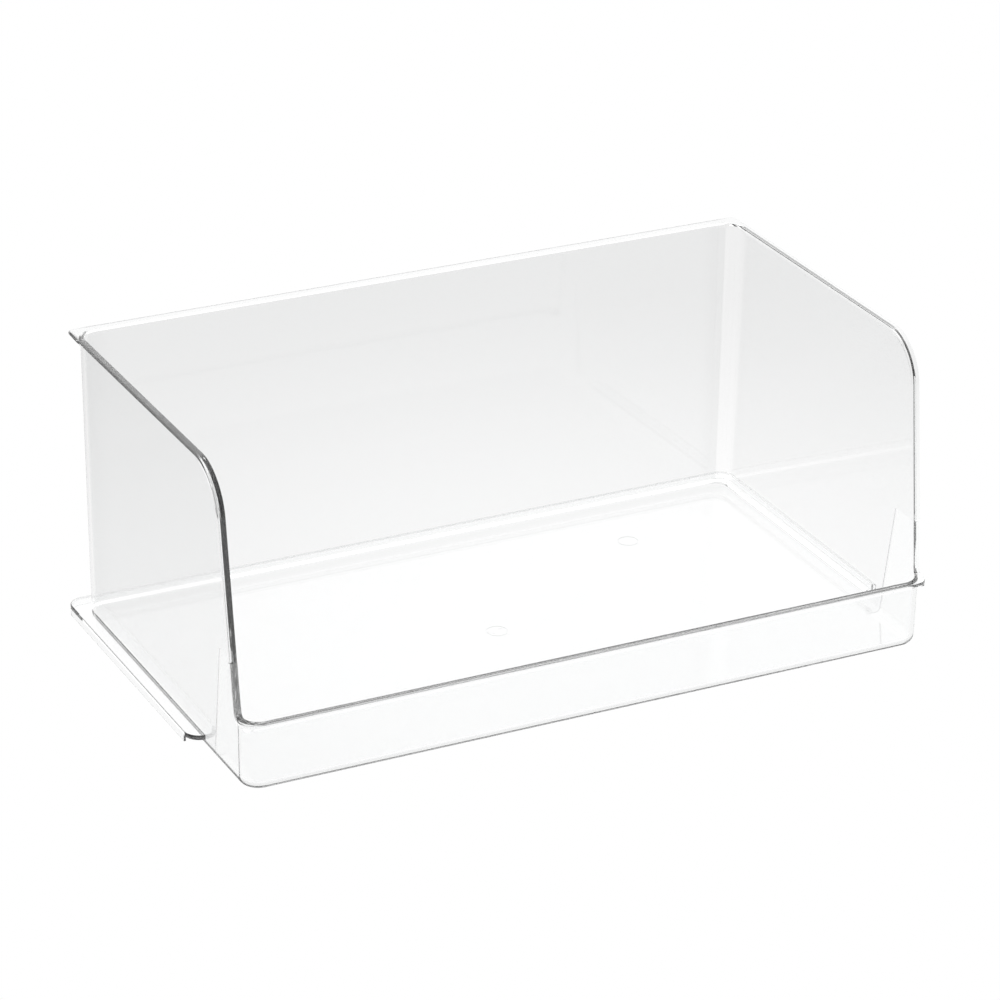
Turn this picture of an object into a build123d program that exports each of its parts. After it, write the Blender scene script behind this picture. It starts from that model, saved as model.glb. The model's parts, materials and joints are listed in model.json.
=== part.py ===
from build123d import *
import math
import os

# A clear open-front stacking storage bin, bonded up from thin clear panels and strips.
# X runs across the bin, +Y points to its back, +Z up. The origin is the middle of the
# whole footprint, on the surface that the bin stands on.

# Walls
base_width = 360.0
base_depth = 200.0
bin_height = 152.4
wall_thickness = 1.7
floor_thickness = 2.0
draft_angle = 0.7
corner_radius = 10.0
base_radius = 4.6

# Front opening: a low lip, then a steep slope up each side wall to its level top edge
lip_height = 35.5
slope_setback = 8.2
slope_angle = 7.6
slope_radius = 25.0
slope_foot_radius = 3.0

# Rim strips, which stand out from the walls along their top edges
rim_thickness = 1.8
side_rim_width = 2.1
back_rim_width = 3.7
rim_corner_radius = 2.0
front_rim_width = 2.8
front_rim_side_width = 1.6
front_rim_corner_radius = 8.5

# Front lip piece, whose two side returns end on a slanting joint
return_height = 62.0
return_top_depth = 28.4
return_foot_depth = 37.4
turn_in = 7.0

# Stacking ledge round the sides and back, with a thin skirt under its outer edge
ledge_height = 7.6
ledge_width = 7.7
ledge_thickness = 2.4
ledge_corner_radius = 8.0
ledge_setback = 48.2
skirt_thickness = 1.1
skirt_depth = 3.2

# Every cut runs this far past what it cuts
overrun = 20.0

# Places worked out from the sizes above
lean = math.tan(math.radians(draft_angle))
slope_run = math.tan(math.radians(slope_angle))
lip_lean = lip_height * lean
footprint_depth = lip_lean + front_rim_width + base_depth + ledge_width
front_y = lip_lean + front_rim_width - footprint_depth / 2
back_y = front_y + base_depth
half_width = base_width / 2
middle_y = front_y + base_depth / 2
back_bend_y = back_y - corner_radius


def upright_block(width, depth, radius, centre_y, low_z, high_z):
    """A plain block with rounded upright corners, whose walls don't lean."""
    face = Pos(0, centre_y, low_z) * RectangleRounded(width, depth, radius)
    return extrude(face, high_z - low_z)


def leaning_block(grow_side, grow_front, grow_back, radius, low_z, high_z):
    """A block that follows the walls' draft, grown outwards from their outer faces."""
    spread = low_z * lean
    width = base_width + 2 * (grow_side + spread)
    depth = base_depth + grow_front + grow_back + 2 * spread
    centre_y = middle_y + (grow_back - grow_front) / 2
    face = Pos(0, centre_y, low_z) * RectangleRounded(width, depth, radius)
    return extrude(face, high_z - low_z, taper=-draft_angle)


def side_prism(points):
    """An outline in the Y-Z plane, run right across the bin."""
    face = make_face(Polyline(*points, close=True))
    return extrude(Plane.YZ * face, half_width + ledge_width + overrun, both=True)


def below_rim(inset):
    """All that lies below the side profile of the opening, moved in by an inset."""
    slope_y = front_y + slope_setback + inset / math.cos(math.radians(slope_angle))
    top_z = bin_height - inset
    lip_z = lip_height - inset
    top_y = slope_y + (top_z - lip_height) * slope_run
    foot_y = slope_y - inset * slope_run
    far_front = front_y - front_rim_width - overrun
    far_back = back_y + ledge_width + overrun
    outline = Polyline(
        (far_back, top_z),
        (top_y, top_z),
        (foot_y, lip_z),
        (far_front, lip_z),
        (far_front, -overrun),
        (far_back, -overrun),
        close=True,
    )
    face = make_face(outline)
    bend = face.vertices().sort_by_distance((top_y, top_z))[0]
    face = fillet(bend, slope_radius - inset)
    foot = face.vertices().sort_by_distance((foot_y, lip_z))[0]
    face = fillet(foot, slope_foot_radius + inset)
    return extrude(Plane.YZ * face, half_width + ledge_width + overrun, both=True)


def outer_body():
    """The solid that the walls' outer faces and the rounded base edge enclose."""
    body = leaning_block(0, 0, 0, corner_radius, 0, bin_height + overrun)
    base_edges = body.edges().group_by(Axis.Z)[0]
    return fillet(base_edges, base_radius)


def inner_space():
    """The space inside the walls, above the floor."""
    radius = corner_radius - wall_thickness
    inset = -wall_thickness
    space = leaning_block(inset, inset, inset, radius, floor_thickness, bin_height + overrun)
    floor_edges = space.edges().group_by(Axis.Z)[0]
    return fillet(floor_edges, base_radius - wall_thickness)


def front_region():
    """The U-shaped zone that the front lip piece fills, with the floor left out of it."""
    foot_slope = (return_foot_depth - return_top_depth) / return_height
    points = [
        (front_y - overrun, -overrun),
        (front_y + return_foot_depth + overrun * foot_slope, -overrun),
        (front_y + return_top_depth, return_height),
        (front_y - overrun, return_height),
    ]
    zone = side_prism(points)
    floor_width = base_width - 2 * turn_in
    floor_depth = base_depth + overrun
    centre_y = front_y + turn_in + floor_depth / 2
    floor_zone = Pos(0, centre_y, 0) * Box(floor_width, floor_depth, 2 * (return_height + overrun))
    return zone - floor_zone


def big_block(low_y, high_y, low_z, high_z, side=0):
    """A block between two depths and two heights, as wide as one side of the bin or both."""
    reach = half_width + ledge_width + overrun
    width = 2 * reach if side == 0 else reach
    block = Pos(side * reach / 2, (low_y + high_y) / 2, (low_z + high_z) / 2)
    return block * Box(width, high_y - low_y, high_z - low_z)


far_front = front_y - front_rim_width - overrun
far_back = back_y + ledge_width + overrun
far_up = bin_height + overrun

# Shell, cut along its joints
shell = (outer_body() - inner_space()) & below_rim(0)
front_zone = front_region()
front_lip = shell & front_zone
rest = shell - front_zone
floor_tray = rest & big_block(far_front, far_back, -overrun, ledge_height)
back_wall = rest & big_block(back_bend_y, far_back, ledge_height, far_up)
left_wall = rest & big_block(far_front, back_bend_y, ledge_height, far_up, -1)
right_wall = rest & big_block(far_front, back_bend_y, ledge_height, far_up, 1)

# Rim strips, which lie along the outside of the walls' top edges
plain_body = leaning_block(0, 0, 0, corner_radius, 0, far_up)
rim_band = below_rim(0) - below_rim(rim_thickness)
rim_block = leaning_block(
    side_rim_width, front_rim_width, back_rim_width, rim_corner_radius, 0, far_up
)
rim = (rim_block & rim_band) - plain_body
lip_block = leaning_block(
    front_rim_side_width, front_rim_width, back_rim_width, front_rim_corner_radius, 0, far_up
)
lip_rim = (lip_block & rim_band) - plain_body
front_rim = lip_rim & big_block(far_front, far_back, 0, return_height)
back_rim = rim & big_block(back_bend_y, far_back, return_height, far_up)
left_rim = rim & big_block(far_front, back_bend_y, return_height, far_up, -1)
right_rim = rim & big_block(far_front, back_bend_y, return_height, far_up, 1)

# Stacking ledge and the skirt under its outer edge
ledge_front_y = front_y + ledge_setback
ledge_low = ledge_height - ledge_thickness
skirt_low = ledge_low - skirt_depth
ledge_full_width = base_width + 2 * ledge_width
ledge_run = back_y + ledge_width - ledge_front_y
ledge_middle = ledge_front_y + ledge_run / 2


def ledge_plate(inset, low_z, high_z):
    """The whole outline of the ledge as a plate, with its outer corners rounded."""
    width = ledge_full_width - 2 * inset
    depth = ledge_run - inset
    centre_y = ledge_front_y + depth / 2
    radius = ledge_corner_radius - inset
    return upright_block(width, depth, radius, centre_y, low_z, high_z)


ledge = ledge_plate(0, ledge_low, ledge_height) - plain_body
skirt_front_y = ledge_front_y + ledge_corner_radius
skirt = ledge_plate(0, skirt_low, ledge_low) - ledge_plate(skirt_thickness, skirt_low, ledge_low)
skirt = skirt & big_block(skirt_front_y, far_back, skirt_low, ledge_low)

back_ledge = ledge & big_block(back_bend_y, far_back, ledge_low, ledge_height)
left_ledge = ledge & big_block(far_front, back_bend_y, ledge_low, ledge_height, -1)
right_ledge = ledge & big_block(far_front, back_bend_y, ledge_low, ledge_height, 1)
back_skirt = skirt & big_block(back_bend_y, far_back, skirt_low, ledge_low)
left_skirt = skirt & big_block(far_front, back_bend_y, skirt_low, ledge_low, -1)
right_skirt = skirt & big_block(far_front, back_bend_y, skirt_low, ledge_low, 1)

parts = {
    "floor_tray": floor_tray,
    "back_wall": back_wall,
    "left_wall": left_wall,
    "right_wall": right_wall,
    "front_lip": front_lip,
    "front_rim": front_rim,
    "back_rim": back_rim,
    "left_rim": left_rim,
    "right_rim": right_rim,
    "back_ledge": back_ledge,
    "left_ledge": left_ledge,
    "right_ledge": right_ledge,
    "back_skirt": back_skirt,
    "left_skirt": left_skirt,
    "right_skirt": right_skirt,
}

os.makedirs("parts", exist_ok=True)
for name, solid in parts.items():
    export_step(solid, f"parts/{name}.step")
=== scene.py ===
"""Clear open-front stacking bin: its fifteen moulded pieces, their clear finish, and a plain pale studio."""

import json
import math
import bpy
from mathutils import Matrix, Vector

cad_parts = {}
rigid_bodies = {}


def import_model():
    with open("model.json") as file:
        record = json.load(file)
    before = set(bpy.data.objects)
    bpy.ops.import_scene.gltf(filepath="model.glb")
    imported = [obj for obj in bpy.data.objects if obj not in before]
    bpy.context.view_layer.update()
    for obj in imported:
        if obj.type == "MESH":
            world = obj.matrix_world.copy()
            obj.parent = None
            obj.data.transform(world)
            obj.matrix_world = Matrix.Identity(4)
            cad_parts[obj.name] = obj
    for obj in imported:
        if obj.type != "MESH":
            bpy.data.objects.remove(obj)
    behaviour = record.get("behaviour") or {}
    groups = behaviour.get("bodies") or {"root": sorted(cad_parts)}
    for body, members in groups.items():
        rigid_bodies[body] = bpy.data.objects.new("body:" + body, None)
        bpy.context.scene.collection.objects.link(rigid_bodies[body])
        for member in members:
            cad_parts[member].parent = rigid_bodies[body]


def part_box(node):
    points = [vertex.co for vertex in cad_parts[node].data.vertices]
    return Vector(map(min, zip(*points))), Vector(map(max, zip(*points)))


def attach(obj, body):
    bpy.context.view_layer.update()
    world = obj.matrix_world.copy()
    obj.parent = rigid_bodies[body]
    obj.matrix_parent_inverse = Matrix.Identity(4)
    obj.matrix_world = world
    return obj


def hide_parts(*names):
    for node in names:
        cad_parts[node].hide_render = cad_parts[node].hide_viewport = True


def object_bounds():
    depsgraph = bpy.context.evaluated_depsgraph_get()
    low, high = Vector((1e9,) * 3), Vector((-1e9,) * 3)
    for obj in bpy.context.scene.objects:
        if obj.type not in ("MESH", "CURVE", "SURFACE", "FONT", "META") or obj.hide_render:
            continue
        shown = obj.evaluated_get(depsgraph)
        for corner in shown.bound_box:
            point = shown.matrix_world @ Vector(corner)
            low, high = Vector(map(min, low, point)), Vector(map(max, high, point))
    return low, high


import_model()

from types import SimpleNamespace

import bmesh
import bpy
from bpy.props import FloatProperty, FloatVectorProperty, IntProperty, PointerProperty
from mathutils import Matrix, Vector

bl_info = {
    "name": "Clear stacking bin",
    "version": (1, 0, 0),
    "blender": (4, 5, 0),
    "location": "View3D > Sidebar > Bin",
    "description": "Models the pieces of a clear stacking bin, finishes them and sets up its studio",
    "category": "Object",
}

# The box of the CAD part, before any piece replaces a node
cad_low, cad_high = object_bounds()

MM = 0.001
DEG = math.radians(1)

# What only keeps the modelling sound: overruns of cutters, how near two points count as the same
# when they are looked for, and how near they are welded together after a cut
OVERRUN = 20 * MM
SAME = 0.002 * MM
WELD = 0.01 * MM
SHARP = 40 * DEG
UPRIGHT = 0.1
NORMAL_REACH = 0.01 * MM

# Names of work in hand, which is cleared away once the pieces are made
STOCK = "shell_stock"
WORK_CLEAR = "work_clear"
BOND = "bond"


class BinSizes(bpy.types.PropertyGroup):
    """Sizes of the bin that its frame doesn't give"""

    wall: FloatProperty(name="Wall", description="Thickness of the walls", default=1.7 * MM, unit="LENGTH")
    floor: FloatProperty(name="Floor", description="Thickness of the floor", default=2.0 * MM, unit="LENGTH")
    draft: FloatProperty(name="Draft", description="How far the walls lean out", default=0.7 * DEG, subtype="ANGLE")
    corner: FloatProperty(
        name="Corner", description="Radius of the upright corners at the foot", default=10 * MM, unit="LENGTH"
    )
    base: FloatProperty(
        name="Base edge", description="Radius of the edge under the floor", default=4.6 * MM, unit="LENGTH"
    )
    lip: FloatProperty(name="Lip", description="Height of the front lip", default=35.5 * MM, unit="LENGTH")
    slope_setback: FloatProperty(
        name="Slope setback", description="From the front to the foot of the slope", default=8.2 * MM, unit="LENGTH"
    )
    slope: FloatProperty(
        name="Slope", description="Lean of the side walls' front edge", default=7.6 * DEG, subtype="ANGLE"
    )
    slope_bend: FloatProperty(
        name="Upper bend", description="Radius from the slope to the level top", default=25 * MM, unit="LENGTH"
    )
    slope_foot: FloatProperty(
        name="Lower bend", description="Radius from the lip to the slope", default=3.0 * MM, unit="LENGTH"
    )
    rim_root: FloatProperty(
        name="Rim root", description="Thickness of the rim where it meets the wall", default=3.0 * MM, unit="LENGTH"
    )
    fillet: FloatProperty(
        name="Fillet", description="How far the fillet under a rim stands out", default=0.7 * MM, unit="LENGTH"
    )
    fillet_lean: FloatProperty(
        name="Fillet lean", description="Lean of the fillet under a rim", default=60 * DEG, subtype="ANGLE"
    )
    side_draft: FloatProperty(
        name="Side rim draft", description="How far the side rims' undersides lean", default=14 * DEG, subtype="ANGLE"
    )
    lip_draft: FloatProperty(
        name="Lip rim draft", description="How far the lip rim's underside leans", default=6 * DEG, subtype="ANGLE"
    )
    back_draft: FloatProperty(
        name="Back rim draft", description="How far the back rim's underside leans", default=2 * DEG, subtype="ANGLE"
    )
    crown: FloatProperty(
        name="Crown", description="Radius of the rims' upper outer edge", default=0.9 * MM, unit="LENGTH"
    )
    rim_edge: FloatProperty(
        name="Rim rounding", description="Radius left on the rims' edges", default=0.45 * MM, unit="LENGTH"
    )
    side_rim: FloatProperty(
        name="Side rim", description="How far the side rims stand out", default=2.1 * MM, unit="LENGTH"
    )
    back_rim: FloatProperty(
        name="Back rim", description="How far the back rim stands out", default=3.7 * MM, unit="LENGTH"
    )
    rim_corner: FloatProperty(
        name="Rim corner", description="Radius of the rim's back corners", default=2.0 * MM, unit="LENGTH"
    )
    front_rim: FloatProperty(
        name="Front rim", description="How far the rim stands out over the lip", default=2.8 * MM, unit="LENGTH"
    )
    front_rim_side: FloatProperty(
        name="Front rim side", description="How far the front rim's ends stand out", default=1.6 * MM, unit="LENGTH"
    )
    front_rim_corner: FloatProperty(
        name="Front rim corner", description="Radius of the front rim's corners", default=8.5 * MM, unit="LENGTH"
    )
    joint_top_depth: FloatProperty(
        name="Joint top", description="Depth of the slanted joint at its top", default=28.4 * MM, unit="LENGTH"
    )
    joint_foot_depth: FloatProperty(
        name="Joint foot", description="Depth of the slanted joint at its foot", default=37.4 * MM, unit="LENGTH"
    )
    turn_in: FloatProperty(
        name="Turn-in", description="How far the lip runs in under the floor", default=7.0 * MM, unit="LENGTH"
    )
    ledge_corner: FloatProperty(
        name="Ledge corner", description="Radius of the ledge's corners", default=8.0 * MM, unit="LENGTH"
    )
    skirt: FloatProperty(name="Skirt", description="Thickness of the skirt", default=1.1 * MM, unit="LENGTH")
    edge: FloatProperty(
        name="Edge rounding", description="Radius left on every moulded edge", default=0.22 * MM, unit="LENGTH"
    )
    ledge_edge: FloatProperty(
        name="Ledge rounding", description="Radius left on the ledge's edges", default=0.5 * MM, unit="LENGTH"
    )
    joint_gap: FloatProperty(
        name="Joint gap", description="Width of the slanted joint that shows", default=0.12 * MM, unit="LENGTH"
    )
    seat: FloatProperty(
        name="Seat", description="Clearance where a strip is bonded to a wall", default=0.02 * MM, unit="LENGTH"
    )
    mark_radius: FloatProperty(
        name="Mark", description="Radius of the rings left on the floor", default=5.2 * MM, unit="LENGTH"
    )
    mark_depth: FloatProperty(
        name="Mark depth", description="Depth of the marks on the floor", default=0.08 * MM, unit="LENGTH"
    )
    pit_radius: FloatProperty(
        name="Pit", description="Radius of the small pits' ball", default=0.8 * MM, unit="LENGTH"
    )
    gate_x: FloatProperty(name="Gate X", description="Place of the gate's ring", default=-4.3 * MM, unit="LENGTH")
    gate_y: FloatProperty(name="Gate Y", description="Place of the gate's ring", default=-5.1 * MM, unit="LENGTH")
    pin_x: FloatProperty(name="Pin X", description="Place of the pin's ring", default=102.9 * MM, unit="LENGTH")
    pin_y: FloatProperty(name="Pin Y", description="Place of the pin's ring", default=58.6 * MM, unit="LENGTH")
    speck_near: FloatProperty(
        name="Inner specks", description="From the middle to the inner specks", default=152 * MM, unit="LENGTH"
    )
    speck_far: FloatProperty(
        name="Outer specks", description="From the middle to the outer specks", default=171 * MM, unit="LENGTH"
    )
    speck_y: FloatProperty(name="Speck Y", description="Depth of the specks", default=81 * MM, unit="LENGTH")
    corner_steps: IntProperty(name="Corner steps", description="Faces round each upright corner", default=14)
    base_steps: IntProperty(name="Base steps", description="Faces round the base edge", default=7)
    bend_steps: IntProperty(name="Bend steps", description="Faces round each bend of the side walls", default=14)
    edge_steps: IntProperty(name="Edge steps", description="Faces round each moulded edge", default=3)
    crown_steps: IntProperty(name="Crown steps", description="Faces round the rims' upper outer edge", default=6)


def places():
    """Places worked out from the frame and from the sizes above."""
    s = bpy.context.scene.bin_sizes
    p = SimpleNamespace()
    wall_low, wall_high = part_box("back_wall")
    ledge_low, ledge_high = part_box("back_ledge")
    p.lean = math.tan(s.draft)
    p.top = wall_high.z
    p.tray_top = wall_low.z
    p.bend_y = wall_low.y
    p.half_width = wall_high.x - p.top * p.lean
    p.back_y = wall_high.y - p.top * p.lean
    p.front_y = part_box("front_rim")[0].y + s.front_rim + s.lip * p.lean
    p.middle_y = (p.front_y + p.back_y) / 2
    p.depth = p.back_y - p.front_y
    p.return_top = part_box("front_lip")[1].z
    p.ledge_low = ledge_low.z
    p.ledge_half_width = ledge_high.x
    p.ledge_back_y = ledge_high.y
    p.ledge_front_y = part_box("left_ledge")[0].y
    p.skirt_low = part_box("back_skirt")[0].z
    p.skirt_front_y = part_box("left_skirt")[0].y
    p.reach = p.ledge_half_width + OVERRUN
    p.far_front = cad_low.y - OVERRUN
    p.far_back = cad_high.y + OVERRUN
    p.far_up = p.top + OVERRUN
    return p


def edit(piece, kind="VERT"):
    """Opens one piece in edit mode with nothing in it selected."""
    bpy.ops.object.select_all(action="DESELECT")
    piece.select_set(True)
    bpy.context.view_layer.objects.active = piece
    bpy.ops.object.mode_set(mode="EDIT")
    bpy.ops.mesh.select_mode(type=kind)
    bpy.ops.mesh.select_all(action="DESELECT")


def pick(piece, kind, test):
    """Selects the vertices, edges or faces that pass a test, in edit mode."""
    mesh = bmesh.from_edit_mesh(piece.data)
    parts = {"VERT": mesh.verts, "EDGE": mesh.edges, "FACE": mesh.faces}[kind]
    for part in parts:
        if test(part):
            part.select_set(True)
    mesh.select_flush_mode()
    bmesh.update_edit_mesh(piece.data)


def leave_edit():
    bpy.ops.object.mode_set(mode="OBJECT")


def new_piece(name, material):
    """An empty mesh at the origin, open in edit mode."""
    bpy.ops.object.select_all(action="DESELECT")
    bpy.ops.mesh.primitive_plane_add(size=1, location=(0, 0, 0))
    piece = bpy.context.object
    piece.name = name
    piece.data.name = name
    piece.data.materials.append(bpy.data.materials[material])
    edit(piece)
    bpy.ops.mesh.select_all(action="SELECT")
    bpy.ops.mesh.delete(type="VERT")
    return piece


def add_outline(width, depth, radius, centre_y, height, steps):
    """Adds a level rounded rectangle to the mesh in hand."""
    middle = (0, centre_y, height)
    bpy.ops.mesh.select_all(action="DESELECT")
    bpy.ops.mesh.primitive_plane_add(size=1, location=middle)
    bpy.ops.transform.resize(value=(width, depth, 1), center_override=middle)
    bpy.ops.mesh.bevel(offset=radius, offset_type="OFFSET", segments=steps, affect="VERTICES", clamp_overlap=False)


def close_between_outlines():
    """Bridges the two outlines of the mesh in hand and caps both ends."""
    bpy.ops.mesh.select_all(action="SELECT")
    bpy.ops.mesh.bridge_edge_loops()
    bpy.ops.mesh.select_all(action="DESELECT")
    bpy.ops.mesh.select_mode(type="EDGE")
    bpy.ops.mesh.select_non_manifold()
    bpy.ops.mesh.fill_holes(sides=0)
    bpy.ops.mesh.select_all(action="SELECT")
    bpy.ops.mesh.normals_make_consistent(inside=False)
    bpy.ops.mesh.select_all(action="DESELECT")


def leaning_block(name, material, grow, radius, low, high, foot_radius=0):
    """A closed block that follows the walls' draft, grown by side, front and back amounts from their faces."""
    s, p = bpy.context.scene.bin_sizes, places()
    side, front, back = grow
    piece = new_piece(name, material)
    for height, extra in ((low, 0), (high, (high - low) * p.lean)):
        spread = low * p.lean + extra
        width = 2 * (p.half_width + side + spread)
        depth = p.depth + front + back + 2 * spread
        centre_y = p.middle_y + (back - front) / 2
        add_outline(width, depth, radius + extra, centre_y, height, s.corner_steps)
    close_between_outlines()
    if foot_radius:
        pick(piece, "EDGE", lambda edge: all(abs(v.co.z - low) < SAME for v in edge.verts))
        bpy.ops.mesh.bevel(
            offset=foot_radius, offset_type="OFFSET", segments=s.base_steps, affect="EDGES", clamp_overlap=False
        )
    leave_edit()
    return piece


def ledge_plate(name, material, inset, low, high):
    """The whole outline of the ledge as a plate, with its outer corners rounded."""
    s, p = bpy.context.scene.bin_sizes, places()
    width = 2 * (p.ledge_half_width - inset)
    depth = p.ledge_back_y - inset - p.ledge_front_y
    centre_y = p.ledge_front_y + depth / 2
    piece = new_piece(name, material)
    for height in (low, high):
        add_outline(width, depth, s.ledge_corner - inset, centre_y, height, s.corner_steps)
    close_between_outlines()
    leave_edit()
    return piece


def block(name, material, low, high):
    """A plain cutting block between two corners."""
    low, high = Vector(low), Vector(high)
    bpy.ops.object.select_all(action="DESELECT")
    bpy.ops.mesh.primitive_cube_add(size=1, location=(low + high) / 2, scale=high - low)
    piece = bpy.context.object
    piece.name = name
    piece.data.materials.append(bpy.data.materials[material])
    bpy.ops.object.transform_apply(location=True, rotation=True, scale=True)
    return piece


def bend_places(inset):
    """Where the side profile turns, at its foot and at its top, as heights and depths."""
    s, p = bpy.context.scene.bin_sizes, places()
    run = math.tan(s.slope)
    slope_y = p.front_y + s.slope_setback + inset / math.cos(s.slope)
    foot = Vector((slope_y - inset * run, s.lip - inset))
    top = Vector((slope_y + (p.top - inset - s.lip) * run, p.top - inset))
    return foot, top


def draw_outline(x, points):
    """Draws a closed outline of depths and heights, in a plane that leans as the side walls do."""
    lean = math.copysign(places().lean, x)
    corners = [Vector((x + height * lean, depth, height)) for depth, height in points]
    bpy.ops.mesh.select_all(action="DESELECT")
    bpy.ops.mesh.primitive_plane_add(size=MM, location=corners[0])
    bpy.ops.mesh.merge(type="CENTER")
    for before, after in zip(corners, corners[1:]):
        bpy.ops.mesh.extrude_region_move(TRANSFORM_OT_translate={"value": after - before})
    bpy.ops.mesh.select_linked()
    bpy.ops.mesh.edge_face_add()
    bpy.ops.mesh.delete(type="ONLY_FACE")


def opening(name, material, inset, sections, front_draft=0):
    """The space over the side profile, through upright sections that each have their own inset."""
    s, p = bpy.context.scene.bin_sizes, places()
    piece = new_piece(name, material)
    feet, tops = [], []
    for x, section_inset in sections:
        foot, top = bend_places(section_inset)
        feet.append(foot)
        tops.append(top)
        face_y = p.front_y - s.lip * p.lean
        front = [(p.far_front, foot.y)]
        if front_draft:
            knee = Vector((face_y - s.fillet, foot.y + s.fillet * math.tan(s.fillet_lean)))
            front_z = knee.y + (knee.x - p.far_front) * math.tan(front_draft)
            front = [(p.far_front, front_z), tuple(knee), (face_y, foot.y)]
        back = [(p.far_back, top.y), (p.far_back, p.far_up + OVERRUN), (p.far_front, p.far_up + OVERRUN)]
        draw_outline(x, front + [tuple(foot), tuple(top)] + back)
    close_between_outlines()
    half_turn = (90 * DEG - s.slope) / 2
    for bends, radius in ((tops, s.slope_bend - inset), (feet, s.slope_foot + inset)):
        bpy.ops.mesh.select_all(action="DESELECT")
        at_bend = lambda v: any((v.co.yz - bend).length < SAME for bend in bends)
        pick(piece, "EDGE", lambda edge: all(at_bend(v) for v in edge.verts))
        bpy.ops.mesh.bevel(
            offset=radius * math.tan(half_turn),
            offset_type="OFFSET",
            segments=s.bend_steps,
            affect="EDGES",
            clamp_overlap=False,
        )
    leave_edit()
    return piece


def full_opening(name, material, inset):
    p = places()
    return opening(name, material, inset, ((-p.reach, inset), (p.reach, inset)))


def side_sections(side):
    """Sections of the space over a side rim's underside: a fillet, then a lean that lets it leave its mould."""
    s, p = bpy.context.scene.bin_sizes, places()
    knee_x = p.half_width + s.fillet
    knee = s.rim_root - s.fillet * math.tan(s.fillet_lean)
    outer = knee - (p.reach - knee_x) * math.tan(s.side_draft)
    return [(side * p.half_width, s.rim_root), (side * knee_x, knee), (side * p.reach, outer)]


def side_opening(name, material, side):
    """The space over one side rim's underside."""
    s = bpy.context.scene.bin_sizes
    return opening(name, material, s.rim_root, side_sections(side))


def wide_opening(name, material):
    """The space over the undersides of the lip rim's two ends."""
    s = bpy.context.scene.bin_sizes
    return opening(name, material, s.rim_root, side_sections(-1)[::-1] + side_sections(1))


def front_opening(name, material):
    """The space over the lip rim's underside, which leans up outwards in front."""
    s, p = bpy.context.scene.bin_sizes, places()
    return opening(name, material, s.rim_root, ((-p.reach, s.rim_root), (p.reach, s.rim_root)), s.lip_draft)


def back_opening(name, material):
    """The space over the back rim's underside, which leans up outwards round both corners."""
    s, p = bpy.context.scene.bin_sizes, places()
    low = p.top - s.rim_root
    knee = low + s.fillet * math.tan(s.fillet_lean)
    piece = new_piece(name, material)
    for height, out in ((low, 0), (knee, s.fillet), (p.top + s.crown, s.fillet)):
        aside = low * p.lean + out + max(height - knee, 0) / math.tan(s.side_draft)
        behind = low * p.lean + out + max(height - knee, 0) / math.tan(s.back_draft)
        width, depth = 2 * (p.half_width + aside), p.depth + 2 * behind
        add_outline(width, depth, s.corner + behind, p.middle_y, height, s.corner_steps)
        bpy.ops.mesh.delete(type="ONLY_FACE")
    close_between_outlines()
    leave_edit()
    return piece


def trim(piece, tool, operation):
    """Cuts a piece with a tool, whose material marks the cut faces, and clears the tool away."""
    cut = piece.modifiers.new("trim", "BOOLEAN")
    cut.operation = operation
    cut.object = tool
    cut.solver = "EXACT"
    cut.material_mode = "TRANSFER"
    apply_modifier(piece, cut)
    bpy.data.objects.remove(tool)
    if not piece.data.polygons:
        raise RuntimeError(f"Nothing is left of {piece.name} after a cut")
    edit(piece)
    bpy.ops.mesh.select_all(action="SELECT")
    bpy.ops.mesh.remove_doubles(threshold=WELD)
    bpy.ops.mesh.delete_loose()
    leave_edit()
    return piece


def apply_modifier(piece, modifier):
    bpy.ops.object.select_all(action="DESELECT")
    piece.select_set(True)
    bpy.context.view_layer.objects.active = piece
    bpy.ops.object.modifier_apply(modifier=modifier.name)


def smooth(piece):
    """Smooth shading that keeps the flat faces flat."""
    bpy.ops.object.select_all(action="DESELECT")
    piece.select_set(True)
    bpy.context.view_layer.objects.active = piece
    bpy.ops.object.shade_smooth_by_angle(angle=SHARP)
    even = piece.modifiers.new("even", "WEIGHTED_NORMAL")
    even.keep_sharp = True
    apply_modifier(piece, even)


def shell_copy(name):
    """A copy of the whole shell, hollowed and cut to its side profile, which is modelled once."""
    s, p = bpy.context.scene.bin_sizes, places()
    stock = bpy.data.objects.get(STOCK)
    if stock is None:
        stock = leaning_block(STOCK, WORK_CLEAR, (0, 0, 0), s.corner, 0, p.far_up, s.base)
        inside = (-s.wall, -s.wall, -s.wall)
        foot = s.base - s.wall
        hollow = leaning_block("hollow", WORK_CLEAR, inside, s.corner - s.wall, s.floor, p.far_up + OVERRUN, foot)
        trim(stock, hollow, "DIFFERENCE")
        smooth(stock)
    piece = stock.copy()
    piece.data = stock.data.copy()
    piece.name = name
    bpy.context.scene.collection.objects.link(piece)
    return trim(piece, full_opening("over_profile", WORK_CLEAR, 0), "DIFFERENCE")


def rim_ring(name, material, grow, radius, body_inset):
    """The strip that runs along the outside of the walls' top edges, all round."""
    s, p = bpy.context.scene.bin_sizes, places()
    piece = leaning_block(name, material, grow, radius, 0, p.far_up - OVERRUN / 2)
    trim(piece, full_opening("under_strip", material, s.rim_root), "INTERSECT")
    trim(piece, full_opening("over_strip", material, 0), "DIFFERENCE")
    body = leaning_block("body", BOND, (-body_inset,) * 3, s.corner - body_inset, 0, p.far_up)
    return trim(piece, body, "DIFFERENCE")


def level_rim(name, material=WORK_CLEAR, body_inset=0):
    """The rim of the side and back walls, down to where the lip's own rim begins."""
    s, p = bpy.context.scene.bin_sizes, places()
    grow = (s.side_rim, s.front_rim, s.back_rim)
    piece = rim_ring(name, material, grow, s.rim_corner, body_inset)
    low, high = (-p.reach, p.far_front, p.return_top), (p.reach, p.far_back, p.far_up)
    return trim(piece, block("over_return", material, low, high), "INTERSECT")


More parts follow.
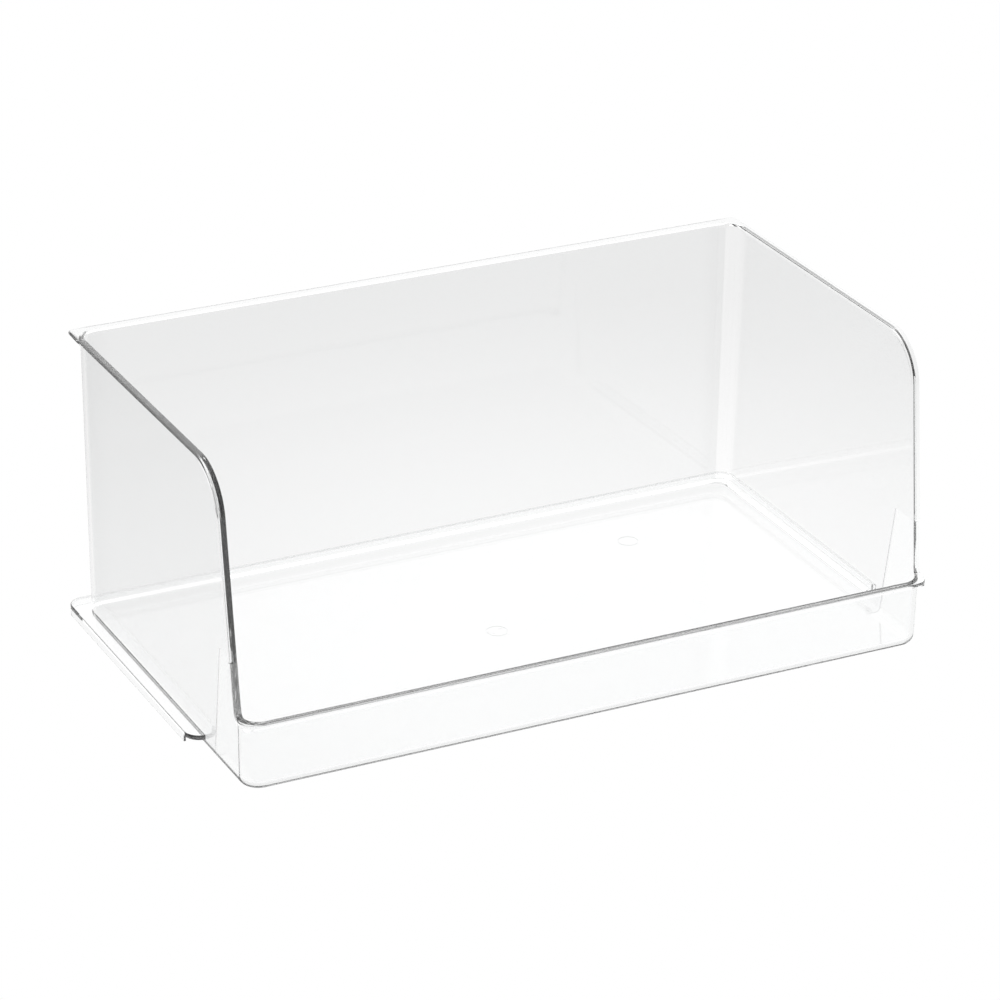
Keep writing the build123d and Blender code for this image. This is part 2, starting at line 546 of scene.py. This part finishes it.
def lip_rim(name, material=WORK_CLEAR, body_inset=0):
    """The rim over the lip and up the lip's side returns."""
    s, p = bpy.context.scene.bin_sizes, places()
    grow = (s.front_rim_side, s.front_rim, s.back_rim)
    piece = rim_ring(name, material, grow, s.front_rim_corner, body_inset)
    top = p.return_top - (s.joint_gap if material == WORK_CLEAR else 0)
    low, high = (-p.reach, p.far_front, -OVERRUN), (p.reach, p.far_back, top)
    return trim(piece, block("under_return", material, low, high), "INTERSECT")


def ledge_ring(name, material=WORK_CLEAR, body_inset=0):
    """The ledge round the sides and back, as one ring."""
    s, p = bpy.context.scene.bin_sizes, places()
    piece = ledge_plate(name, material, 0, p.ledge_low, p.tray_top)
    body = leaning_block("body", BOND, (-body_inset,) * 3, s.corner - body_inset, -OVERRUN, p.far_up)
    return trim(piece, body, "DIFFERENCE")


def skirt_ring(name, material=WORK_CLEAR, rise=0):
    """The thin skirt under the ledge's outer edge, as one ring."""
    s, p = bpy.context.scene.bin_sizes, places()
    piece = ledge_plate(name, material, 0, p.skirt_low, p.ledge_low + OVERRUN)
    core = ledge_plate("core", material, s.skirt, p.skirt_low - OVERRUN, p.ledge_low + 2 * OVERRUN)
    trim(piece, core, "DIFFERENCE")
    low, high = (-p.reach, p.skirt_front_y, -OVERRUN), (p.reach, p.far_back, p.far_up)
    trim(piece, block("skirt_room", material, low, high), "INTERSECT")
    low, high = (-p.reach, p.far_front, p.ledge_low + rise), (p.reach, p.far_back, p.far_up)
    return trim(piece, block("roof", BOND, low, high), "DIFFERENCE")


def return_zone(name, gap):
    """The zone of the front lip: before the slanted joint, and outside the floor's own edge."""
    s, p = bpy.context.scene.bin_sizes, places()
    foot_run = (s.joint_foot_depth - s.joint_top_depth) / p.return_top
    top_y = p.front_y + s.joint_top_depth + gap - OVERRUN * foot_run
    foot_y = p.front_y + s.joint_foot_depth + gap + OVERRUN * foot_run
    high_z, low_z = p.return_top + OVERRUN, -OVERRUN
    piece = block(name, WORK_CLEAR, (-p.reach, p.far_front, low_z), (p.reach, foot_y, high_z))
    edit(piece, "EDGE")
    pick(piece, "EDGE", lambda edge: all(v.co.z > 0 and v.co.y > p.front_y for v in edge.verts))
    bpy.ops.transform.translate(value=(0, top_y - foot_y, 0))
    bpy.ops.mesh.select_all(action="SELECT")
    bpy.ops.mesh.bisect(plane_co=(0, 0, p.tray_top), plane_no=(0, 0, 1))
    bpy.ops.mesh.select_mode(type="FACE")
    bpy.ops.mesh.select_all(action="DESELECT")
    in_tray = lambda face: face.normal.y > 0.5 and face.calc_center_median().z < p.tray_top
    pick(piece, "FACE", in_tray)
    piece.data.materials.append(bpy.data.materials[BOND])
    piece.active_material_index = 1
    bpy.ops.object.material_slot_assign()
    leave_edit()
    roof = block("roof", BOND, (-2 * p.reach, p.far_front, p.return_top), (2 * p.reach, p.far_back, p.far_up))
    trim(piece, roof, "DIFFERENCE")
    inner_x = p.half_width - s.turn_in
    low, high = (-inner_x, p.front_y + s.turn_in, -2 * OVERRUN), (inner_x, p.far_back, p.far_up)
    return trim(piece, block("floor_room", BOND, low, high), "DIFFERENCE")


def side_room(name, side, low_z, high_z):
    """A cutting block for one side of the bin, up to where the back corners begin to bend."""
    p = places()
    low_x, high_x = sorted((0, side * p.reach))
    return block(name, BOND, (low_x, p.far_front, low_z), (high_x, p.bend_y, high_z))


def back_room(name, low_z, high_z):
    """A cutting block for the back, with both back corners."""
    p = places()
    return block(name, BOND, (-p.reach, p.bend_y, low_z), (p.reach, p.far_back, high_z))


def round_edges(piece, rounding):
    """Rounds every sharp edge that isn't on a bonded face or at a step too small to round."""
    s = bpy.context.scene.bin_sizes
    bonded = {i for i, slot in enumerate(piece.material_slots) if slot.material.name == BOND}
    edit(piece, "EDGE")

    def is_open_edge(edge):
        if len(edge.link_faces) != 2 or any(face.material_index in bonded for face in edge.link_faces):
            return False
        nearby = [near.calc_length() for v in edge.verts for near in v.link_edges]
        return min(nearby) > rounding / 2 and edge.calc_face_angle() > SHARP

    pick(piece, "EDGE", is_open_edge)
    bpy.ops.mesh.bevel(
        offset=rounding, offset_type="OFFSET", segments=s.edge_steps, affect="EDGES", clamp_overlap=True, material=-1
    )
    bpy.ops.mesh.select_all(action="SELECT")
    bpy.ops.mesh.remove_doubles(threshold=WELD)
    leave_edit()


def crown_edges(piece):
    """Rounds the upper outer edge of a rim more than its other edges."""
    s, p = bpy.context.scene.bin_sizes, places()
    bonded = {i for i, slot in enumerate(piece.material_slots) if slot.material.name == BOND}
    edit(piece, "EDGE")

    def is_crown(edge):
        if len(edge.link_faces) != 2 or any(face.material_index in bonded for face in edge.link_faces):
            return False
        if all(abs(v.co.z - p.return_top) < s.joint_gap + SAME for v in edge.verts):
            return False
        low, high = sorted(face.normal.z for face in edge.link_faces)
        return abs(low) < UPRIGHT < high and edge.calc_face_angle() > SHARP

    pick(piece, "EDGE", is_crown)
    bpy.ops.mesh.bevel(
        offset=s.crown, offset_type="OFFSET", segments=s.crown_steps, affect="EDGES", clamp_overlap=False, material=-1
    )
    leave_edit()


def ring_mark(name, centre, radius, depth):
    """A cutter for the faint ring that a gate or a pin leaves on a moulded face."""
    bpy.ops.object.select_all(action="DESELECT")
    bpy.ops.mesh.primitive_torus_add(
        major_radius=radius, minor_radius=3 * depth, major_segments=48, minor_segments=12, location=centre
    )
    return finish_cutter(name, 2 * depth)


def dot_mark(name, centre, radius, depth):
    """A cutter for a small pit."""
    bpy.ops.object.select_all(action="DESELECT")
    bpy.ops.mesh.primitive_uv_sphere_add(segments=16, ring_count=8, radius=radius, location=centre)
    return finish_cutter(name, radius - depth)


def finish_cutter(name, rise):
    tool = bpy.context.object
    tool.name = name
    tool.data.materials.append(bpy.data.materials[WORK_CLEAR])
    bpy.ops.transform.translate(value=(0, 0, rise))
    bpy.ops.object.transform_apply(location=True, rotation=True, scale=True)
    return tool


def finish_piece(piece, node, slot, on_shell=False, marks=(), rounding=None):
    """Rounds, marks and shades a piece, gives it its finish, and sets it in the frame for its node."""
    round_edges(piece, rounding or bpy.context.scene.bin_sizes.edge)
    for mark in marks:
        trim(piece, mark, "DIFFERENCE")
    smooth(piece)
    if on_shell:
        carry = piece.modifiers.new("carry", "DATA_TRANSFER")
        carry.object = bpy.data.objects[STOCK]
        carry.use_loop_data = True
        carry.data_types_loops = {"CUSTOM_NORMAL"}
        carry.loop_mapping = "POLYINTERP_NEAREST"
        carry.use_max_distance = True
        carry.max_distance = NORMAL_REACH
        apply_modifier(piece, carry)
    bonded = {i for i, s in enumerate(piece.material_slots) if s.material.name == BOND}
    marks = [1 if face.material_index in bonded else 0 for face in piece.data.polygons]
    piece.data.materials.clear()
    piece.data.materials.append(bpy.data.materials[slot])
    piece.data.materials.append(bpy.data.materials[BOND])
    piece.data.polygons.foreach_set("material_index", marks)
    piece.data.update()
    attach(piece, "root")
    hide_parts(node)


class BinFinish(bpy.types.PropertyGroup):
    """Clear acrylic: its tint, polish and moulding ripple, and the highlight and shade painted on its walls and on
    the ledge's edge
    """

    tint: FloatVectorProperty(
        name="Tint", description="What a clear strip lets through", default=(0.976, 0.979, 0.979), subtype="COLOR"
    )
    wall_tint: FloatVectorProperty(
        name="Wall tint", description="What a wall lets through", default=(0.935, 0.938, 0.938), subtype="COLOR"
    )
    # Painted highlight: the back corners are left untinted, lighter than the walls round them
    painted_corner_highlight: FloatVectorProperty(
        name="Corner tint", description="What the back corners let through", default=(1, 1, 1), subtype="COLOR"
    )
    # Painted shade: a darker band on the back wall where each back corner ends
    painted_end_shade: FloatVectorProperty(
        name="Shade tint", description="What the back wall lets through at its ends", default=(0.91, 0.913, 0.913),
        subtype="COLOR",
    )
    floor_tint: FloatVectorProperty(
        name="Floor tint", description="What the floor lets through", default=(0.94, 0.943, 0.943), subtype="COLOR"
    )
    # Painted shade: near-black on the outside of the ledge's rounded upper edge
    painted_edge_shade: FloatVectorProperty(
        name="Edge tint", description="What the ledge's rounded upper edge lets through", default=(0.04, 0.04, 0.04),
        subtype="COLOR",
    )
    refraction: FloatProperty(name="Refraction", description="Refractive index of acrylic", default=1.49)
    polish: FloatProperty(name="Polish", description="Roughness of a polished face", default=0.03)
    ripple: FloatProperty(
        name="Ripple", description="Height of the moulding ripple", default=0.03 * MM, unit="LENGTH"
    )
    ripple_size: FloatProperty(
        name="Ripple size", description="Length of one ripple", default=40 * MM, unit="LENGTH"
    )


def falloff(tree, value, start, end, start_value, end_value):
    """Brightness that goes smoothly from one value to another."""
    step = tree.nodes.new("ShaderNodeMapRange")
    step.interpolation_type = "SMOOTHSTEP"
    step.inputs["From Min"].default_value = start
    step.inputs["From Max"].default_value = end
    step.inputs["To Min"].default_value = start_value
    step.inputs["To Max"].default_value = end_value
    tree.links.new(value, step.inputs["Value"])
    return step.outputs["Result"]


def moulding_group():
    """Shared effect: the faint flow ripple and uneven polish of a moulded clear face."""
    name = "moulded_face"
    if name in bpy.data.node_groups:
        return bpy.data.node_groups[name]
    group = bpy.data.node_groups.new(name, "ShaderNodeTree")
    face = group.interface
    face.new_socket("Ripple Scale", in_out="INPUT", socket_type="NodeSocketFloat").default_value = 25
    face.new_socket("Polish", in_out="INPUT", socket_type="NodeSocketFloat").default_value = 0.03
    face.new_socket("Unevenness", in_out="INPUT", socket_type="NodeSocketFloat").default_value = 0.02
    face.new_socket("Height", in_out="OUTPUT", socket_type="NodeSocketFloat")
    face.new_socket("Roughness", in_out="OUTPUT", socket_type="NodeSocketFloat")
    node, link = group.nodes.new, group.links.new
    given, put = node("NodeGroupInput"), node("NodeGroupOutput")
    place = node("ShaderNodeTexCoord")
    ripple = node("ShaderNodeTexNoise")
    ripple.inputs["Detail"].default_value = 1.5
    smear = node("ShaderNodeTexNoise")
    smear.inputs["Scale"].default_value = 90
    smear.inputs["Detail"].default_value = 3
    spread = node("ShaderNodeMath")
    spread.operation = "MULTIPLY_ADD"
    link(place.outputs["Object"], ripple.inputs["Vector"])
    link(place.outputs["Object"], smear.inputs["Vector"])
    link(given.outputs["Ripple Scale"], ripple.inputs["Scale"])
    link(smear.outputs["Fac"], spread.inputs[0])
    link(given.outputs["Unevenness"], spread.inputs[1])
    link(given.outputs["Polish"], spread.inputs[2])
    link(ripple.outputs["Fac"], put.inputs["Height"])
    link(spread.outputs["Value"], put.inputs["Roughness"])
    return group


def clear_material(name, tint, polish, unevenness, ripple, ripple_size):
    """Clear moulded acrylic with its own tint, polish and ripple."""
    finish = bpy.context.scene.bin_finish
    material = bpy.data.materials[name]
    material.use_nodes = True
    tree = material.node_tree
    node, link = tree.nodes.new, tree.links.new
    shader = tree.nodes["Principled BSDF"]
    shader.inputs["Alpha"].default_value = 1
    shader.inputs["Transmission Weight"].default_value = 1
    shader.inputs["Metallic"].default_value = 0
    shader.inputs["IOR"].default_value = finish.refraction
    shader.inputs["Base Color"].default_value = (*tint, 1)
    face = node("ShaderNodeGroup")
    face.node_tree = moulding_group()
    face.inputs["Ripple Scale"].default_value = 1 / ripple_size
    face.inputs["Polish"].default_value = polish
    face.inputs["Unevenness"].default_value = unevenness
    bump = node("ShaderNodeBump")
    bump.inputs["Strength"].default_value = 1
    bump.inputs["Distance"].default_value = ripple
    link(face.outputs["Height"], bump.inputs["Height"])
    link(bump.outputs["Normal"], shader.inputs["Normal"])
    link(face.outputs["Roughness"], shader.inputs["Roughness"])
    return material


def paint_corner_light_and_shade(material):
    """Paints light and shade on the walls by the turn round their back corners: a clearer band over each corner is a
    painted highlight, and a darker band where it ends on the back wall is painted shade.
    """
    s, finish, p = bpy.context.scene.bin_sizes, bpy.context.scene.bin_finish, places()
    tree = material.node_tree
    node, link = tree.nodes.new, tree.links.new
    place, parts = node("ShaderNodeTexCoord"), node("ShaderNodeSeparateXYZ")
    link(place.outputs["Object"], parts.inputs[0])
    across, out, back, turn = (node("ShaderNodeMath") for step in range(4))
    across.operation = "ABSOLUTE"
    link(parts.outputs["X"], across.inputs[0])
    out.operation = back.operation = "SUBTRACT"
    out.inputs[1].default_value = p.half_width - s.corner
    link(across.outputs["Value"], out.inputs[0])
    back.inputs[1].default_value = p.bend_y
    link(parts.outputs["Y"], back.inputs[0])
    turn.operation = "ARCTAN2"
    link(back.outputs["Value"], turn.inputs[0])
    link(out.outputs["Value"], turn.inputs[1])
    spread = node("ShaderNodeMapRange")
    first, last = -45 * DEG, 135 * DEG
    spread.inputs["From Min"].default_value = first
    spread.inputs["From Max"].default_value = last
    link(turn.outputs["Value"], spread.inputs["Value"])
    ramp = node("ShaderNodeValToRGB")
    # clear is the painted highlight over the back corners, shade the painted shade where they end on the back wall
    wall, clear, shade = finish.wall_tint, finish.painted_corner_highlight, finish.painted_end_shade
    stops = ((-25, wall), (-10, clear), (55, clear), (60, shade), (90, shade), (125, wall))
    elements = ramp.color_ramp.elements
    for extra in range(len(stops) - len(elements)):
        elements.new(0.5)
    for element, (angle, tint) in zip(elements, stops):
        element.position = (angle * DEG - first) / (last - first)
        element.color = (*tint, 1)
    link(spread.outputs["Result"], ramp.inputs["Fac"])
    link(ramp.outputs["Color"], tree.nodes["Principled BSDF"].inputs["Base Color"])


def paint_ledge_edge_shade(material):
    """Paints shade on the outside of the ledge's rounded upper edge: a near-black tint stands in for the dark line
    that the edge shows where it carries the light that it catches away.
    """
    s, finish, p = bpy.context.scene.bin_sizes, bpy.context.scene.bin_finish, places()
    tree = material.node_tree
    node, link = tree.nodes.new, tree.links.new
    place, parts = node("ShaderNodeTexCoord"), node("ShaderNodeSeparateXYZ")
    link(place.outputs["Object"], parts.inputs[0])
    rise = node("ShaderNodeMapRange")
    rise.inputs["From Min"].default_value = p.tray_top - s.ledge_edge
    rise.inputs["From Max"].default_value = p.tray_top
    link(parts.outputs["Z"], rise.inputs["Value"])
    inside, level = node("ShaderNodeNewGeometry"), node("ShaderNodeMath")
    level.operation = "MAXIMUM"
    link(rise.outputs["Result"], level.inputs[0])
    link(inside.outputs["Backfacing"], level.inputs[1])
    ramp = node("ShaderNodeValToRGB")
    # Painted shade between the clear faces above and below the rounding; inside faces stay clear
    stops = ((0, finish.tint), (0.05, finish.painted_edge_shade), (0.95, finish.painted_edge_shade), (0.99, finish.tint))
    elements = ramp.color_ramp.elements
    for extra in range(len(stops) - len(elements)):
        elements.new(0.5)
    for element, (position, tint) in zip(elements, stops):
        element.position = position
        element.color = (*tint, 1)
    link(level.outputs["Value"], ramp.inputs["Fac"])
    link(ramp.outputs["Color"], tree.nodes["Principled BSDF"].inputs["Base Color"])


class BIN_OT_finishes(bpy.types.Operator):
    """Make the clear finishes of the walls, floor, lip, rims, ledges and skirts"""

    bl_idname = "clear_bin.finishes"
    bl_label = "Finishes"

    def execute(self, context):
        finish = context.scene.bin_finish
        tint = Vector(finish.tint)
        size, ripple, polish = finish.ripple_size, finish.ripple, finish.polish
        wall = clear_material("clear_wall", finish.wall_tint, polish, 0.02, ripple, size)
        # Painted highlight and painted shade round the walls' back corners
        paint_corner_light_and_shade(wall)
        clear_material("clear_floor", finish.floor_tint, polish, 0.02, ripple, size)
        clear_material("clear_lip", tint, polish, 0.02, ripple, size)
        clear_material("clear_rim", tint, polish, 0.03, ripple / 2, size)
        ledge = clear_material("clear_ledge", tint, polish, 0.03, ripple / 2, size)
        # Painted shade on the ledge's rounded upper edge
        paint_ledge_edge_shade(ledge)
        clear_material("clear_skirt", tint, polish, 0.03, ripple / 2, size)
        bpy.data.materials.new(WORK_CLEAR)
        bond = bpy.data.materials.new(BOND)
        bond.use_nodes = True
        tree = bond.node_tree
        tree.nodes.clear()
        through = tree.nodes.new("ShaderNodeBsdfTransparent")
        out = tree.nodes.new("ShaderNodeOutputMaterial")
        tree.links.new(through.outputs["BSDF"], out.inputs["Surface"])
        return {"FINISHED"}


class BIN_OT_tray(bpy.types.Operator):
    """Model the floor tray, with its rounded base edge"""

    bl_idname = "clear_bin.tray"
    bl_label = "Floor tray"

    def execute(self, context):
        s, p = context.scene.bin_sizes, places()
        piece = shell_copy("tray")
        low, high = (-p.reach, p.far_front, -OVERRUN), (p.reach, p.far_back, p.tray_top)
        trim(piece, block("under_walls", BOND, low, high), "INTERSECT")
        trim(piece, return_zone("lip_room", s.joint_gap), "DIFFERENCE")
        trim(piece, ledge_ring("ledge_seat", BOND, s.seat), "DIFFERENCE")
        marks = []
        for x, y in ((s.gate_x, s.gate_y), (s.pin_x, s.pin_y)):
            marks.append(ring_mark("ring", (x, y, s.floor), s.mark_radius, s.mark_depth))
        for turn in (-1, 1):
            pit = (s.gate_x + turn * s.mark_radius / 2, s.gate_y + turn * s.mark_radius / 3, s.floor)
            marks.append(dot_mark("pit", pit, s.pit_radius, s.mark_depth))
            for reach in (s.speck_near, s.speck_far):
                speck = (turn * reach, s.speck_y, s.floor)
                marks.append(dot_mark("speck", speck, s.pit_radius, s.mark_depth))
        finish_piece(piece, "floor_tray", "clear_floor", on_shell=True, marks=marks)
        return {"FINISHED"}


class BIN_OT_walls(bpy.types.Operator):
    """Model the back wall with both back corners, and the two side walls"""

    bl_idname = "clear_bin.walls"
    bl_label = "Walls"

    def execute(self, context):
        s, p = context.scene.bin_sizes, places()
        rooms = {
            "back": back_room("back_room", p.tray_top, p.far_up),
            "left": side_room("left_room", -1, p.tray_top, p.far_up),
            "right": side_room("right_room", 1, p.tray_top, p.far_up),
        }
        for side, room in rooms.items():
            piece = shell_copy(side + "_panel")
            trim(piece, room, "INTERSECT")
            if side != "back":
                trim(piece, return_zone("lip_room", s.joint_gap), "DIFFERENCE")
            trim(piece, level_rim("rim_seat", BOND, s.seat), "DIFFERENCE")
            finish_piece(piece, side + "_wall", "clear_wall", on_shell=True)
        return {"FINISHED"}


class BIN_OT_lip(bpy.types.Operator):
    """Model the front lip with its two side returns"""

    bl_idname = "clear_bin.lip"
    bl_label = "Front lip"

    def execute(self, context):
        s = context.scene.bin_sizes
        piece = shell_copy("lip")
        trim(piece, return_zone("lip_room", 0), "INTERSECT")
        trim(piece, lip_rim("rim_seat", BOND, s.seat), "DIFFERENCE")
        finish_piece(piece, "front_lip", "clear_lip", on_shell=True)
        return {"FINISHED"}


class BIN_OT_rims(bpy.types.Operator):
    """Model the four rim strips"""

    bl_idname = "clear_bin.rims"
    bl_label = "Rims"

    def execute(self, context):
        s, p = context.scene.bin_sizes, places()
        rooms = {
            "back": back_room("back_room", 0, p.far_up),
            "left": side_room("left_room", -1, 0, p.far_up),
            "right": side_room("right_room", 1, 0, p.far_up),
        }
        for side, room in rooms.items():
            piece = trim(level_rim(side + "_rim_strip"), room, "INTERSECT")
            if side == "back":
                under = back_opening("under_back", WORK_CLEAR)
            else:
                under = side_opening("under_side", WORK_CLEAR, -1 if side == "left" else 1)
            trim(piece, under, "INTERSECT")
            crown_edges(piece)
            finish_piece(piece, side + "_rim", "clear_rim", rounding=s.rim_edge)
        piece = trim(lip_rim("front_rim_strip"), front_opening("under_front", WORK_CLEAR), "INTERSECT")
        trim(piece, wide_opening("under_ends", WORK_CLEAR), "INTERSECT")
        crown_edges(piece)
        finish_piece(piece, "front_rim", "clear_rim", rounding=s.rim_edge)
        return {"FINISHED"}


class BIN_OT_ledges(bpy.types.Operator):
    """Model the stacking ledge and the skirt under its outer edge"""

    bl_idname = "clear_bin.ledges"
    bl_label = "Ledges and skirts"

    def execute(self, context):
        s, p = context.scene.bin_sizes, places()
        for side, turn in (("back", 0), ("left", -1), ("right", 1)):
            for make, kind in ((ledge_ring, "ledge"), (skirt_ring, "skirt")):
                piece = make(side + "_" + kind + "_strip")
                name = side + "_room"
                low_z, high_z = -OVERRUN, p.far_up
                room = side_room(name, turn, low_z, high_z) if turn else back_room(name, low_z, high_z)
                trim(piece, room, "INTERSECT")
                if kind == "ledge":
                    trim(piece, skirt_ring("skirt_seat", BOND, s.seat), "DIFFERENCE")
                rounding = s.ledge_edge if kind == "ledge" else s.edge
                finish_piece(piece, side + "_" + kind, "clear_" + kind, rounding=rounding)
        return {"FINISHED"}


class BinStage(bpy.types.PropertyGroup):
    """Camera, floor and light"""

    camera_place: FloatVectorProperty(
        name="Camera", description="Where the camera stands", default=(-0.8283, -1.6256, 0.9192), subtype="XYZ"
    )
    azimuth: FloatProperty(
        name="Azimuth", description="Turn of the view to the right of +Y", default=26.965 * DEG, subtype="ANGLE"
    )
    elevation: FloatProperty(
        name="Elevation", description="How far the view points down", default=24.957 * DEG, subtype="ANGLE"
    )
    roll: FloatProperty(name="Roll", description="Turn about the view", default=0.969 * DEG, subtype="ANGLE")
    lens: FloatProperty(name="Lens", description="Focal length on a 36 mm sensor", default=148.93)
    floor_radius: FloatProperty(
        name="Floor radius", description="Radius of the pale floor", default=12.0, unit="LENGTH"
    )
    floor_gap: FloatProperty(
        name="Floor gap", description="How far the floor lies under the bin", default=0.5 * MM, unit="LENGTH"
    )
    pool: FloatVectorProperty(
        name="Light pool", description="Middle of the lit floor", default=(0.06, -0.05, 0), subtype="XYZ"
    )
    near: FloatProperty(name="Near", description="End of the evenly lit floor", default=0.1, unit="LENGTH")
    far: FloatProperty(name="Far", description="Where the floor seen has fallen off", default=0.5, unit="LENGTH")
    dark: FloatProperty(name="Dark", description="Where the mirrored floor has gone dark", default=1.6, unit="LENGTH")
    seen_near: FloatProperty(name="Seen near", description="Near floor seen through the bin", default=1.03)
    seen_far: FloatProperty(name="Seen far", description="Far floor seen through the bin", default=0.88)
    mirrored_near: FloatProperty(name="Mirrored near", description="Near floor in reflections", default=0.95)
    mirrored_far: FloatProperty(name="Mirrored far", description="Far floor in reflections", default=0.25)
    piped_near: FloatProperty(name="Piped near", description="Near floor seen along a wall", default=0.9)
    piped_far: FloatProperty(name="Piped far", description="Far floor seen along a wall", default=0.04)
    sky_front: FloatProperty(name="Front", description="Studio over the camera, in reflections", default=0.5)
    sky_back: FloatProperty(name="Back", description="Studio behind the bin, in reflections", default=1.35)
    sky_piped: FloatProperty(name="Piped sky", description="Studio seen along a wall", default=0.05)


def over(tree, value, limit):
    """One where a value is over a limit, and zero elsewhere."""
    test = tree.nodes.new("ShaderNodeMath")
    test.operation = "GREATER_THAN"
    test.inputs[1].default_value = limit
    tree.links.new(value, test.inputs[0])
    return test.outputs["Value"]


def choose(tree, factor, first, second):
    """Takes the first value where the factor is zero and the second where it is one."""
    mix = tree.nodes.new("ShaderNodeMix")
    mix.data_type = "FLOAT"
    tree.links.new(factor, mix.inputs["Factor"])
    for value, socket in ((first, "A"), (second, "B")):
        if isinstance(value, (int, float)):
            mix.inputs[socket].default_value = value
        else:
            tree.links.new(value, mix.inputs[socket])
    return mix.outputs["Result"]


def by_path(tree, seen, mirrored, piped):
    """Brightness for rays that come straight through, off a face or two, or along inside a wall."""
    path = tree.nodes.new("ShaderNodeLightPath")
    depth = path.outputs["Glossy Depth"]
    light = choose(tree, over(tree, depth, 0.5), seen, mirrored)
    light = choose(tree, over(tree, depth, 6.5), light, piped)
    return choose(tree, path.outputs["Is Camera Ray"], light, 1)


class BIN_OT_stage(bpy.types.Operator):
    """Set the camera, the pale floor and the soft studio light"""

    bl_idname = "clear_bin.stage"
    bl_label = "Stage"

    def execute(self, context):
        self.set_camera(context)
        self.lay_floor(context)
        self.light(context)
        return {"FINISHED"}

    def set_camera(self, context):
        stage = context.scene.bin_stage
        bpy.ops.object.camera_add(location=(0, 0, 0))
        camera = context.object
        camera.name = "camera"
        turn = Matrix.Rotation(-stage.azimuth, 4, "Z") @ Matrix.Rotation(90 * DEG - stage.elevation, 4, "X")
        camera.matrix_world = Matrix.Translation(stage.camera_place) @ turn @ Matrix.Rotation(stage.roll, 4, "Z")
        camera.data.sensor_width = 36
        camera.data.lens = stage.lens
        camera.data.clip_end = 100
        context.scene.camera = camera

    def lay_floor(self, context):
        stage = context.scene.bin_stage
        bpy.ops.object.select_all(action="DESELECT")
        bpy.ops.mesh.primitive_circle_add(
            vertices=64, radius=stage.floor_radius, fill_type="NGON", location=(0, 0, -stage.floor_gap)
        )
        floor = context.object
        floor.name = "floor"
        material = bpy.data.materials.new("pale_floor")
        floor.data.materials.append(material)
        material.use_nodes = True
        tree = material.node_tree
        tree.nodes.clear()
        place, away = tree.nodes.new("ShaderNodeTexCoord"), tree.nodes.new("ShaderNodeVectorMath")
        away.operation = "DISTANCE"
        away.inputs[1].default_value = stage.pool
        tree.links.new(place.outputs["Object"], away.inputs[0])
        distance = away.outputs["Value"]
        seen = falloff(tree, distance, stage.near, stage.far, stage.seen_near, stage.seen_far)
        mirrored = falloff(tree, distance, stage.near, stage.dark, stage.mirrored_near, stage.mirrored_far)
        piped = falloff(tree, distance, stage.near, stage.far, stage.piped_near, stage.piped_far)
        glow = tree.nodes.new("ShaderNodeEmission")
        out = tree.nodes.new("ShaderNodeOutputMaterial")
        tree.links.new(by_path(tree, seen, mirrored, piped), glow.inputs["Strength"])
        tree.links.new(glow.outputs["Emission"], out.inputs["Surface"])

    def light(self, context):
        stage = context.scene.bin_stage
        world = bpy.data.worlds.new("studio")
        context.scene.world = world
        world.use_nodes = True
        tree = world.node_tree
        sky = tree.nodes["Background"]
        sky.inputs["Color"].default_value = (1, 1, 1, 1)
        place, parts = tree.nodes.new("ShaderNodeTexCoord"), tree.nodes.new("ShaderNodeSeparateXYZ")
        tree.links.new(place.outputs["Object"], parts.inputs[0])
        mirrored = falloff(tree, parts.outputs["Y"], -0.3, 0.3, stage.sky_front, stage.sky_back)
        tree.links.new(by_path(tree, 1, mirrored, stage.sky_piped), sky.inputs["Strength"])
        context.scene.view_settings.view_transform = "Standard"
        cycles = context.scene.cycles
        cycles.max_bounces = 96
        cycles.glossy_bounces = 96
        cycles.transmission_bounces = 96
        cycles.transparent_max_bounces = 96
        cycles.sample_clamp_indirect = 0


class BIN_PT_panel(bpy.types.Panel):
    """Sizes, finish and stage of the bin, and the steps that make it"""

    bl_idname = "BIN_PT_panel"
    bl_label = "Clear stacking bin"
    bl_space_type = "VIEW_3D"
    bl_region_type = "UI"
    bl_category = "Bin"

    def draw(self, context):
        for operator in OPERATORS:
            self.layout.operator(operator.bl_idname)
        for settings in (context.scene.bin_sizes, context.scene.bin_finish, context.scene.bin_stage):
            box = self.layout.box()
            for name in settings.bl_rna.properties.keys():
                if name not in ("name", "rna_type"):
                    box.prop(settings, name)


GROUPS = (("bin_sizes", BinSizes), ("bin_finish", BinFinish), ("bin_stage", BinStage))
OPERATORS = (
    BIN_OT_finishes, BIN_OT_tray, BIN_OT_walls, BIN_OT_lip, BIN_OT_rims, BIN_OT_ledges, BIN_OT_stage,
)


def register():
    for name, group in GROUPS:
        bpy.utils.register_class(group)
        setattr(bpy.types.Scene, name, PointerProperty(type=group))
    for operator in OPERATORS:
        bpy.utils.register_class(operator)
    bpy.utils.register_class(BIN_PT_panel)


def unregister():
    bpy.utils.unregister_class(BIN_PT_panel)
    for operator in reversed(OPERATORS):
        bpy.utils.unregister_class(operator)
    for name, group in reversed(GROUPS):
        delattr(bpy.types.Scene, name)
        bpy.utils.unregister_class(group)


def main():
    register()
    bpy.ops.clear_bin.finishes()
    bpy.ops.clear_bin.tray()
    bpy.ops.clear_bin.walls()
    bpy.ops.clear_bin.lip()
    bpy.ops.clear_bin.rims()
    bpy.ops.clear_bin.ledges()
    bpy.ops.clear_bin.stage()
    bpy.data.objects.remove(bpy.data.objects[STOCK])
    bpy.data.materials.remove(bpy.data.materials[WORK_CLEAR])


if __name__ == "__main__":
    main()
